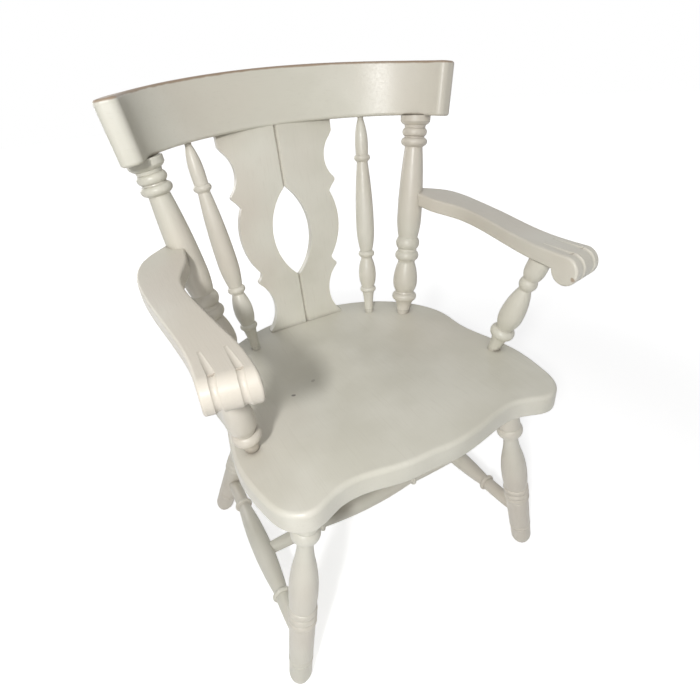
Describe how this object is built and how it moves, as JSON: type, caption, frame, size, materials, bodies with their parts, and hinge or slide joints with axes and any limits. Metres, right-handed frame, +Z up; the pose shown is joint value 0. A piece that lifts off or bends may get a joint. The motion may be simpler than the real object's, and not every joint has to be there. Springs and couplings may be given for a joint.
{
  "type": "captains chair",
  "caption": "Painted wooden captains chair with turned splayed legs, pierced splat, bowed arms with carved hands and a bent crest rail.",
  "frame": {"origin": "on the floor below the middle of the chair's bounding box", "axes": "+Z up, the chair faces -Y, +X is the side at the right of the picture"},
  "size_m": [0.6032, 0.5241, 0.9015],
  "materials": {
    "painted_wood": "satin off-white paint over wood, lightly brushed",
    "screw_steel": "plain bright steel"
  },
  "bodies": {
    "root": {"seat": "painted_wood", "leg_front_right": "painted_wood", "leg_front_left": "painted_wood", "leg_rear_right": "painted_wood", "leg_rear_left": "painted_wood", "side_stretcher_right": "painted_wood", "side_stretcher_left": "painted_wood", "cross_stretcher": "painted_wood", "back_post_right": "painted_wood", "back_post_left": "painted_wood", "back_spindle_right": "painted_wood", "back_spindle_left": "painted_wood", "splat_right": "painted_wood", "splat_left": "painted_wood", "crest_rail": "painted_wood", "arm_right": "painted_wood", "arm_left": "painted_wood", "arm_post_right": "painted_wood", "arm_post_left": "painted_wood", "screw_plugs": "painted_wood", "arm_screws": "screw_steel"}
  },
  "joints": []
}
